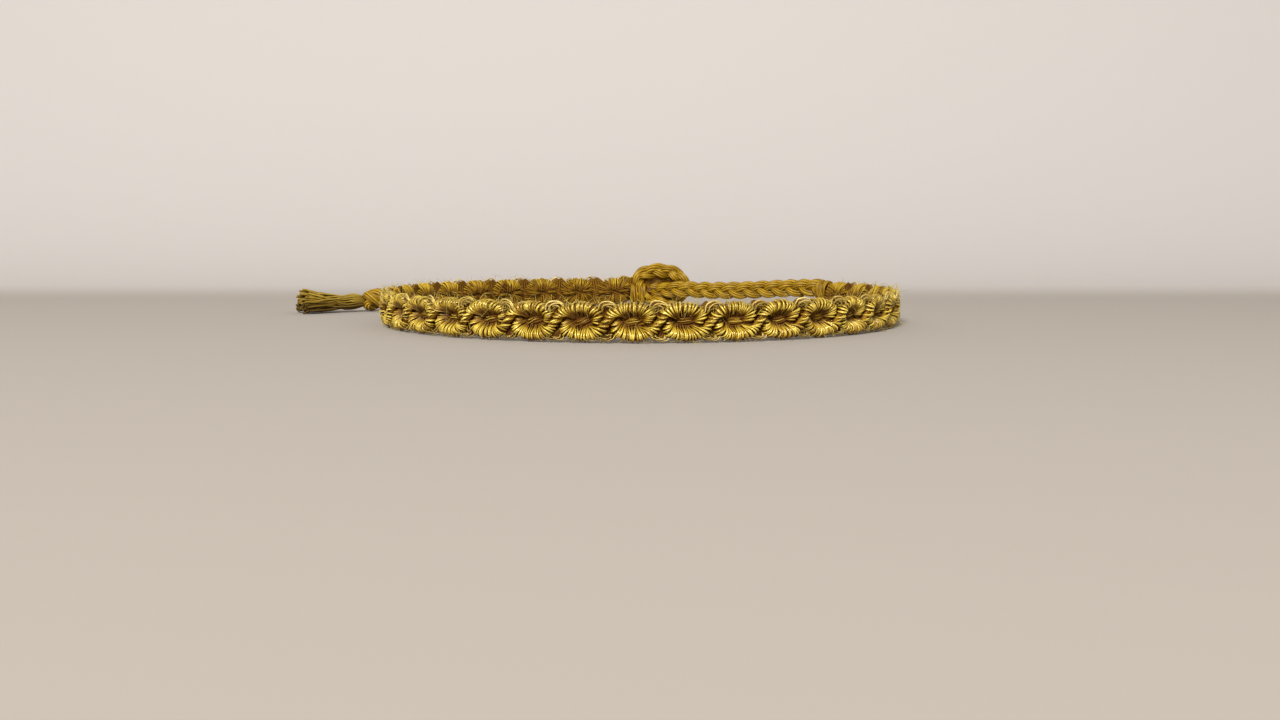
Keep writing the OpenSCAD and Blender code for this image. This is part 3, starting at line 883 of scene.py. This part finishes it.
# Floor and light
# A plain sheet of pale paper lies flat under the bracelet and curves up into a wall behind it, with
# soft window light from the front.
FLOOR_FROM, FLOOR_HALF_WIDTH = -0.9, 1.2
CURVE_FROM, CURVE_R, WALL_TOP = 0.10, 0.12, 0.9
# Where the paper starts to get paler, and where it is palest
PALER_FROM, PALEST_FROM = 0.04, 0.10
ROOM_LIGHT = 0.26

floor_profile = [(FLOOR_FROM, 0.0), (CURVE_FROM, 0.0)] + [
    (CURVE_FROM + CURVE_R * math.sin(a), CURVE_R * (1 - math.cos(a)))
    for a in np.linspace(0.1, math.pi / 2, 12)] + [(CURVE_FROM + CURVE_R, WALL_TOP)]
floor_mesh = bpy.data.meshes.new("floor")
floor_mesh.from_pydata(
    [(x, y, z) for y, z in floor_profile for x in (-FLOOR_HALF_WIDTH, FLOOR_HALF_WIDTH)], [],
    [(2 * i, 2 * i + 1, 2 * i + 3, 2 * i + 2) for i in range(len(floor_profile) - 1)])
floor_mesh.polygons.foreach_set("use_smooth", [True] * len(floor_mesh.polygons))
floor = bpy.data.objects.new("floor", floor_mesh)
bpy.context.scene.collection.objects.link(floor)
# Matt paper: no gloss, and a little darker near the bracelet than behind it
floor_paper = bpy.data.materials.new("matt_paper_floor")
floor_paper.use_nodes = True
floor_tree = floor_paper.node_tree
floor_shader = floor_tree.nodes["Principled BSDF"]
floor_shader.inputs["Roughness"].default_value = 0.9
how_far = add(floor_tree, "ShaderNodeSeparateXYZ", [
    add(floor_tree, "ShaderNodeTexCoord").outputs["Object"]])
fading = add(floor_tree, "ShaderNodeMapRange", {
    "Value": how_far.outputs["Y"], "From Min": PALER_FROM, "From Max": PALEST_FROM},
    interpolation_type="SMOOTHSTEP")
paper = add(floor_tree, "ShaderNodeMix", {
    0: fading, 6: linear("#a49b90"), 7: linear("#c7c0ba")}, data_type="RGBA")
floor_tree.links.new(paper.outputs[2], floor_shader.inputs["Base Color"])
floor_mesh.materials.append(floor_paper)

# Name, place, size, watts, colour
LIGHTS = [
    ("key_light", (-0.12, -0.55, 0.38), 0.2, 6.5, "#ffffff"),
    ("fill_light", (0.45, -0.35, 0.25), 0.40, 0.6, "#ffffff"),
]
for name, light_place, size, watts, colour in LIGHTS:
    data = bpy.data.lights.new(name, "AREA")
    data.size, data.energy, data.color = size, watts, linear(colour)[:3]
    lamp = bpy.data.objects.new(name, data)
    lamp.location = light_place
    lamp.rotation_euler = (-lamp.location).to_track_quat("-Z", "Y").to_euler()
    bpy.context.scene.collection.objects.link(lamp)
world = bpy.data.worlds.new("soft_room")
world.use_nodes = True
world.node_tree.nodes["Background"].inputs["Color"].default_value = linear("#ffffff")
world.node_tree.nodes["Background"].inputs["Strength"].default_value = ROOM_LIGHT
bpy.context.scene.world = world
bpy.context.scene.view_settings.view_transform = "Standard"
